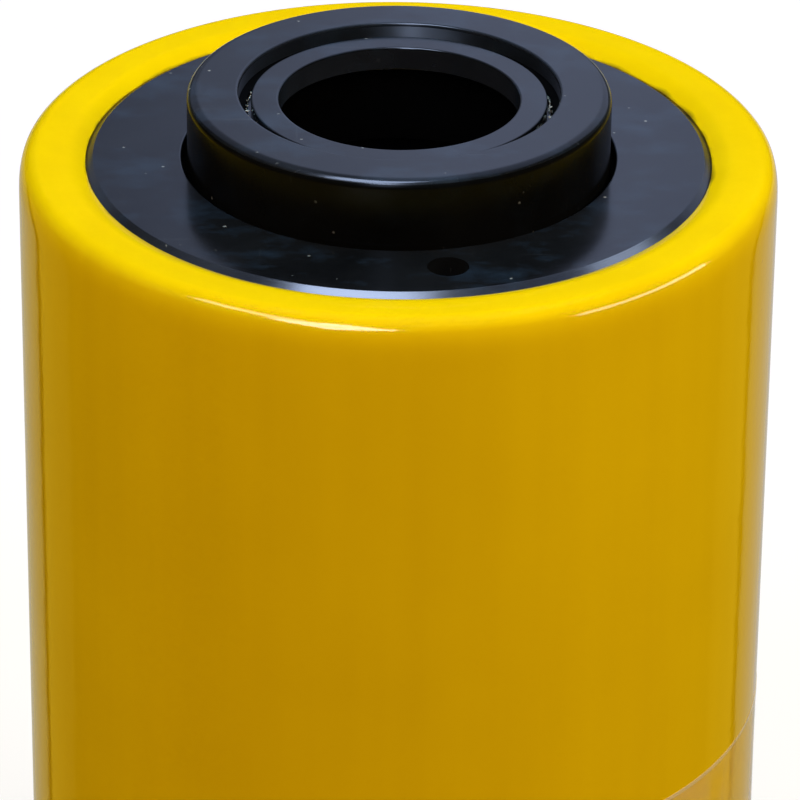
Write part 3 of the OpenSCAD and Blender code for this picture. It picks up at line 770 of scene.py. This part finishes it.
film = {"r": 57.03, "thick": 0.07, "from": 40.0, "to": 142.0, "bottom": 20.0, "top": 78.5, "corner": 3.0,
        "columns": 140, "rows": 30}
filmLook = {"color": (0.92, 0.78, 0.52, 1), "rough": 0.08, "ior": 1.5, "rim": (0.0775, 0.0781), "rimShare": 0.55,
            "patch": (55, 3), "stretch": (1, 1, 0.6), "span": (0.44, 0.66), "alpha": (0.05, 0.26),
            "ripple": (90, 2), "depth": 0.00025}


def makeFilmFinish():
    p = filmLook
    finish, tree, shader, coords = newFinish(
        "clearFilm", {"Base Color": p["color"], "Roughness": p["rough"], "IOR": p["ior"]})
    rim = sums(tree, "MULTIPLY", spread(tree, axes(tree, coords)["Z"], *p["rim"]), p["rimShare"])
    patch = noise(tree, scaled(tree, coords, p["stretch"]), *p["patch"])
    patch = spread(tree, patch, *p["span"], *p["alpha"])
    feed(tree, shader["Alpha"], sums(tree, "MAXIMUM", patch, rim))
    feed(tree, shader["Normal"], relief(tree, noise(tree, coords, *p["ripple"]), p["depth"]))
    return finish


def makeFilm():
    p = film
    columns, rows = p["columns"], p["rows"]
    form = bmesh.new()
    grid = {}
    wide = math.radians(p["to"] - p["from"]) * p["r"]
    tall = p["top"] - p["bottom"]
    for side, r in enumerate((p["r"], p["r"] + p["thick"])):
        for i in range(columns + 1):
            u = wide * i / columns
            a = math.radians(p["from"]) + u / p["r"] - math.pi / 2
            edge = max(p["corner"] - min(u, wide - u), 0)
            inset = p["corner"] - math.sqrt(max(p["corner"] ** 2 - edge ** 2, 0))  # round corners
            for j in range(rows + 1):
                z = p["bottom"] + inset + (tall - 2 * inset) * j / rows
                grid[side, i, j] = form.verts.new((r * mm * math.cos(a), r * mm * math.sin(a), z * mm))
    for i in range(columns):
        for j in range(rows):
            form.faces.new([grid[1, a, b] for a, b in ((i, j), (i + 1, j), (i + 1, j + 1), (i, j + 1))])
            form.faces.new([grid[0, a, b] for a, b in ((i, j), (i, j + 1), (i + 1, j + 1), (i + 1, j))])
    for i in range(columns):
        for j in (0, rows):
            form.faces.new((grid[0, i, j], grid[0, i + 1, j], grid[1, i + 1, j], grid[1, i, j]))
    for j in range(rows):
        for i in (0, columns):
            form.faces.new((grid[0, i, j], grid[0, i, j + 1], grid[1, i, j + 1], grid[1, i, j]))
    piece = built(form, "clearFilm", [makeFilmFinish()])
    shade(piece.data)
    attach(piece, "housing")
    return piece


clearFilm = makeFilm()
print("film:", len(clearFilm.data.polygons), "faces")


# finishes of the solids that stay

keptFinish = {
    "gland_guide_ring": guideBronze, "wiper_ring": blackRubber, "tube_o_ring": blackRubber,
    "tube_backup_ring": backupPlastic, "tube_retaining_ring": springSteel, "piston_head": coreSteel,
    "piston_seal": sealPlastic, "piston_backup_ring": backupPlastic, "piston_guide_ring": guideBronze,
    "inner_seal": sealPlastic, "inner_backup_ring": backupPlastic, "inner_guide_ring": guideBronze,
    "coupler_insert": platedSteel, "coupler_seal": blackRubber, "coupler_ball": ballSteel}
for name, finish in keptFinish.items():
    slots = nodes[name].data.materials
    if len(slots) == 0:
        slots.append(finish)
    for k in range(len(slots)):
        slots[k] = finish
print("kept solids:", len(keptFinish))


# stage, lamps and camera, in metres

def whiteToEye(tree):
    # 1 for what is seen, straight or in a reflection, and 0 for what lights the object
    path = addNode(tree, "ShaderNodeLightPath").outputs
    seen = sums(tree, "ADD", path["Is Camera Ray"], path["Is Glossy Ray"])
    return sums(tree, "MINIMUM", sums(tree, "ADD", seen, path["Is Transmission Ray"]), 1)


def mixed(tree, share, first, second, sink):
    both = addNode(tree, "ShaderNodeMixShader", {0: share, 1: first, 2: second})
    feed(tree, tree.nodes[sink].inputs["Surface"], both.outputs["Shader"])


def bareFinish(name):
    finish, tree = newMaterial(name)
    tree.nodes.remove(tree.nodes["Principled BSDF"])
    return finish, tree


def glowFinish(name, color):
    finish, tree = bareFinish(name)
    light = addNode(tree, "ShaderNodeEmission", {"Color": color})
    feed(tree, tree.nodes["Material Output"].inputs["Surface"], light.outputs["Emission"])
    return finish, tree, light.inputs


def unseen(card):
    card.visible_camera = False
    card.visible_shadow = False


floorLook = {"size": 9, "cells": 8, "drop": 0.0003, "matt": (0.93, 0.95, 1.0, 1), "glow": (1.0, 1.0, 1.12, 1),
             "near": 0.16, "away": 0.55, "least": 0.60}  # glows more and more away from the object's shadow


def makeFloor():
    p = floorLook
    bpy.ops.mesh.primitive_grid_add(
        x_subdivisions=p["cells"], y_subdivisions=p["cells"], size=p["size"], location=(0, 0, -p["drop"]))
    floor = bpy.context.object
    floor.name = "studioFloor"
    finish, tree = bareFinish("paleFloor")
    matt = addNode(tree, "ShaderNodeBsdfDiffuse", {"Color": p["matt"]})
    glow = addNode(tree, "ShaderNodeEmission", {"Color": p["glow"], "Strength": 1.0})
    share = spread(tree, axisDistance(tree, objectCoords(tree)), p["near"], p["away"], p["least"], 1.0)
    share = sums(tree, "MULTIPLY", whiteToEye(tree), share)
    mixed(tree, share, matt.outputs["BSDF"], glow.outputs["Emission"], "Material Output")
    floor.data.materials.append(finish)


seamLeft, seamRight = (-0.0533, -0.0203), (0.0520, -0.0230)  # on the wall, where its reflections turn from warm to grey
cards = {
    "frontMat": {"apex": (0, 0), "from": -180.0, "to": 180.0, "rise": 0.0002, "near": (0.34, 0.214, 0.008)},
    "warmLeft": {"apex": seamLeft, "from": -139.0, "to": -117.0, "rise": 0.0003,
                 "near": (0.80, 0.57, 0.04), "away": (0.40, 0.27, 0.02)},
    "warmRight": {"apex": seamRight, "from": 134.5, "to": 115.0, "rise": 0.0003,
                  "near": (0.66, 0.47, 0.03), "away": (0.34, 0.22, 0.01)},
    "lineLeft": {"apex": seamLeft, "from": -143.0, "to": -139.0, "rise": 0.0004, "near": (0, 0, 0)},
    "lineRight": {"apex": seamRight, "from": 138.5, "to": 134.5, "rise": 0.0004, "near": (0, 0, 0)},
    "greyMatLeft": {"apex": seamLeft, "from": -142.5, "to": -215.0, "rise": 0.0005,
                    "near": (0.52, 0.46, 0.13), "away": (0.54, 0.55, 0.50)},
    "greyMatRight": {"apex": seamRight, "from": 138.0, "to": 200.0, "rise": 0.0006,
                     "near": (0.40, 0.37, 0.12), "away": (0.52, 0.57, 0.61)}}
matReach = {"far": 1.95, "grade": 34.0, "steps": 48}


def makeCards():
    # mats round the object that its wall reflects: warm in front, grey behind, a dark seam between
    for name, p in cards.items():
        x, y = p["apex"]
        points = []
        for k in range(matReach["steps"] + 1):
            a = math.radians(p["from"] + (p["to"] - p["from"]) * k / matReach["steps"])
            points.append((x + matReach["far"] * math.sin(a), y - matReach["far"] * math.cos(a), p["rise"]))
        if abs(p["to"] - p["from"]) < 360:
            points.append((x, y, p["rise"]))
        else:
            points.pop()
        finish, tree, light = glowFinish(name, (*p["near"], 1))
        if "away" in p:  # graded away from its first side
            back = {"Vector": objectCoords(tree), "Center": (x, y, 0), "Angle": -math.radians(p["from"])}
            spot = axes(tree, addNode(tree, "ShaderNodeVectorRotate", back).outputs["Vector"])
            angle = sums(tree, "ARCTAN2", sums(tree, "SUBTRACT", spot["X"], x), sums(tree, "SUBTRACT", y, spot["Y"]))
            share = spread(tree, sums(tree, "ABSOLUTE", angle), 0, math.radians(matReach["grade"]))
            feed(tree, light["Color"], blendColor(tree, share, p["near"], p["away"]))
        mesh = bpy.data.meshes.new(name)
        mesh.from_pydata(points, [], [tuple(range(len(points)))])
        unseen(place(mesh, name, [finish]))


def lightOnly(source, label, pieces):
    lit = bpy.data.collections.new(label)
    for piece in pieces:
        lit.objects.link(piece)
    source.light_linking.receiver_collection = lit


canopy = {"r": 1.5, "wide": 2.8, "centre": 0.17, "steps": 40, "from": 8.0, "fade": 84.0, "to": 114.0,
          "color": (0.60, 0.69, 1.0, 1), "most": 1.02, "left": 0.34, "leftSpan": (-0.15, 0.02),
          "right": 0.72, "rightSpan": (0.05, 0.25)}


def makeCanopy():
    # dim blue sky from behind to overhead, for the dark and bare metal pieces
    p = canopy
    form = bmesh.new()
    rows = []
    for k in range(p["steps"] + 1):
        a = math.radians(p["from"] + (p["to"] - p["from"]) * k / p["steps"])
        y, z = p["r"] * math.cos(a), p["centre"] + p["r"] * math.sin(a)
        rows.append([form.verts.new((x * p["wide"] / 2, y, z)) for x in (-1, 1)])
    for near, far in zip(rows, rows[1:]):
        form.faces.new((near[0], near[1], far[1], far[0]))
    finish, tree, light = glowFinish("canopy", p["color"])
    spot = axes(tree, objectCoords(tree))
    climb = sums(tree, "ARCTAN2", sums(tree, "SUBTRACT", spot["Z"], p["centre"]), spot["Y"])
    fade = spread(tree, climb, math.radians(p["fade"]), math.radians(p["to"]), 1.0, 0.0)
    left = spread(tree, spot["X"], *p["leftSpan"], p["left"], p["most"])
    right = spread(tree, spot["X"], *p["rightSpan"], p["most"], p["right"])
    feed(tree, light["Strength"], sums(tree, "MULTIPLY", fade, sums(tree, "MINIMUM", left, right)))
    card = built(form, "canopy", [finish], outward=False)  # its winding steers the light sampling
    unseen(card)
    lightOnly(card, "darkAndBarePieces", darkPieces)


flags = {"flagRing": {"low": 0.0, "high": 1.7, "fill": True}, "flagUpper": {"low": 1.7, "high": 4.6, "fill": False}}
flagLook = {"r": 1.9, "sides": 64, "glow": 0.02}


def makeFlags():
    # dark bands round the studio, so that the round edges don't mirror the white
    for name, p in flags.items():
        form = stacked([circle(flagLook["r"], z, flagLook["sides"]) for z in (p["low"], p["high"])], capped=False)
        finish, tree, light = glowFinish(name, (1, 1, 1, 1))
        light["Strength"].default_value = flagLook["glow"]
        band = built(form, name, [finish], outward=False)
        band.visible_diffuse = p["fill"]
        unseen(band)


sky = {"color": (0.85, 0.93, 1.0, 1), "strength": 0.16}


def makeWorld():
    world = bpy.data.worlds.new("studio")
    scene.world = world
    world.use_nodes = True
    tree = world.node_tree
    fill = tree.nodes["Background"]
    fill.inputs["Color"].default_value = sky["color"]
    fill.inputs["Strength"].default_value = sky["strength"]
    white = addNode(tree, "ShaderNodeBackground", {"Color": (1, 1, 1, 1), "Strength": 1.0})
    mixed(tree, whiteToEye(tree), fill.outputs["Background"], white.outputs["Background"], "World Output")


leftEnd = (-0.391, -0.625, 0.676)  # where the two lamps of the ring's bright arc meet
lamps = {
    "overhead": {"azimuth": 170, "elevation": 84, "far": 1.15, "size": (1.0, 0.9), "power": 9.4,
                 "color": (0.50, 1.0, 1.15)},
    "frontKey": {"azimuth": -8, "elevation": 57, "far": 1.45, "size": (1.5, 0.36), "power": 15.0,
                 "color": (1.0, 0.74, 0.48)},
    "leftFill": {"azimuth": -72, "elevation": 30, "far": 1.4, "size": (0.7, 0.5), "power": 3.4,
                 "color": (1.0, 0.80, 0.52)},
    "rightKey": {"azimuth": 76, "elevation": 35, "far": 1.3, "size": (0.95, 0.24), "power": 9.6,
                 "color": (1.0, 0.85, 0.55)},
    "backFill": {"azimuth": 178, "elevation": 24, "far": 1.4, "size": (1.3, 0.5), "power": 7.2,
                 "color": (1.0, 0.78, 0.50)},
    "glintFront": {"ends": ((-0.150, -0.915, 0.375), leftEnd), "far": 1.5, "width": 0.60, "power": 31.0,
                   "color": (1.0, 0.95, 0.84), "onto": "paint"},
    "glintLeft": {"ends": (leftEnd, (-0.660, -0.202, 0.724)), "far": 1.5, "width": 0.30, "power": 7.5,
                  "color": (1.0, 0.95, 0.84), "onto": "paint"},
    "glintRight": {"ends": ((0.775, -0.605, 0.182), (0.9555, 0.168, 0.242)), "far": 1.3, "width": 0.21, "power": 7.8,
                   "color": (1.0, 0.97, 0.88), "onto": "paint"},
    "glintFace": {"azimuth": -8, "elevation": 36, "far": 1.4, "size": (0.28, 0.80), "power": 6.6,
                  "color": (0.80, 0.90, 1.15), "onto": "crown"},
    "glintRim": {"azimuth": 110, "elevation": 46, "far": 1.3, "size": (0.50, 0.30), "power": 1.7,
                 "color": (0.82, 0.92, 1.15), "onto": "rim"},
    "glintTop": {"azimuth": -30, "elevation": 70, "far": 1.1, "size": (0.5, 0.6), "power": 10.0,
                 "color": (0.80, 0.90, 1.15), "onto": "dark"}}
lampAim = Vector((0, 0, 0.12))


def lampPlace(p):
    if "ends" in p:
        first, last = (Vector(d).normalized() * p["far"] for d in p["ends"])
        along = (last - first).normalized()
        middle = (first + last) / 2
        side = middle.cross(along).normalized()
        turn = Matrix((along, side, along.cross(side))).transposed()
        return middle, turn.to_euler(), ((last - first).length, p["width"])
    a, e = math.radians(p["azimuth"]), math.radians(p["elevation"])
    away = Vector((math.sin(a) * math.cos(e), -math.cos(a) * math.cos(e), math.sin(e)))
    return away * p["far"], away.to_track_quat("Z", "Y").to_euler(), p["size"]


def makeLamps():
    sets = {"paint": [bodyShell, clearFilm], "dark": darkPieces, "crown": [plungerTube, saddleNut], "rim": [glandRing]}
    for name, p in lamps.items():
        spot, turn, size = lampPlace(p)
        light = bpy.data.lights.new(name, "AREA")
        light.shape = "RECTANGLE"
        light.size, light.size_y = size
        light.energy = p["power"]
        light.color = p["color"]
        lamp = bpy.data.objects.new(name, light)
        lamp.location = lampAim + spot
        lamp.rotation_euler = turn
        scene.collection.objects.link(lamp)
        lamp.visible_camera = False
        glint = "onto" in p  # seen only in reflections, and only by its own set
        lamp.visible_glossy = glint
        lamp.visible_diffuse = not glint
        if glint:
            lightOnly(lamp, name, sets[p["onto"]])


eye = {"spot": (0.58, -777.8, 538.05), "pitch": 27.94, "roll": 0.61, "focalPixels": 5735.65, "imagePixels": 800,
       "sensor": 36, "clipEnd": 50}  # spot and sensor in mm


def makeCamera():
    pitch, roll = math.radians(eye["pitch"]), math.radians(eye["roll"])
    ahead = Vector((0, math.cos(pitch), -math.sin(pitch)))
    right = Vector((1, 0, 0))
    up = right.cross(ahead)
    side = right * math.cos(roll) + up * math.sin(roll)
    crown = up * math.cos(roll) - right * math.sin(roll)
    data = bpy.data.cameras.new("photoEye")
    data.sensor_width = eye["sensor"]
    data.lens = eye["sensor"] * eye["focalPixels"] / eye["imagePixels"]
    data.clip_end = eye["clipEnd"]
    camera = bpy.data.objects.new("photoEye", data)
    turn = Matrix((side, crown, -ahead)).transposed().to_4x4()
    camera.matrix_world = Matrix.Translation(Vector(eye["spot"]) * mm) @ turn
    scene.collection.objects.link(camera)
    scene.camera = camera


darkPieces = [glandRing, plungerTube, saddleNut, centerSleeve, *coilPieces, *burrPieces, *couplerPieces,
              *[nodes[name] for name in keptFinish]]
makeFloor()
makeCards()
makeCanopy()
makeFlags()
makeWorld()
makeLamps()
makeCamera()
print("stage:", len(lamps), "lamps")
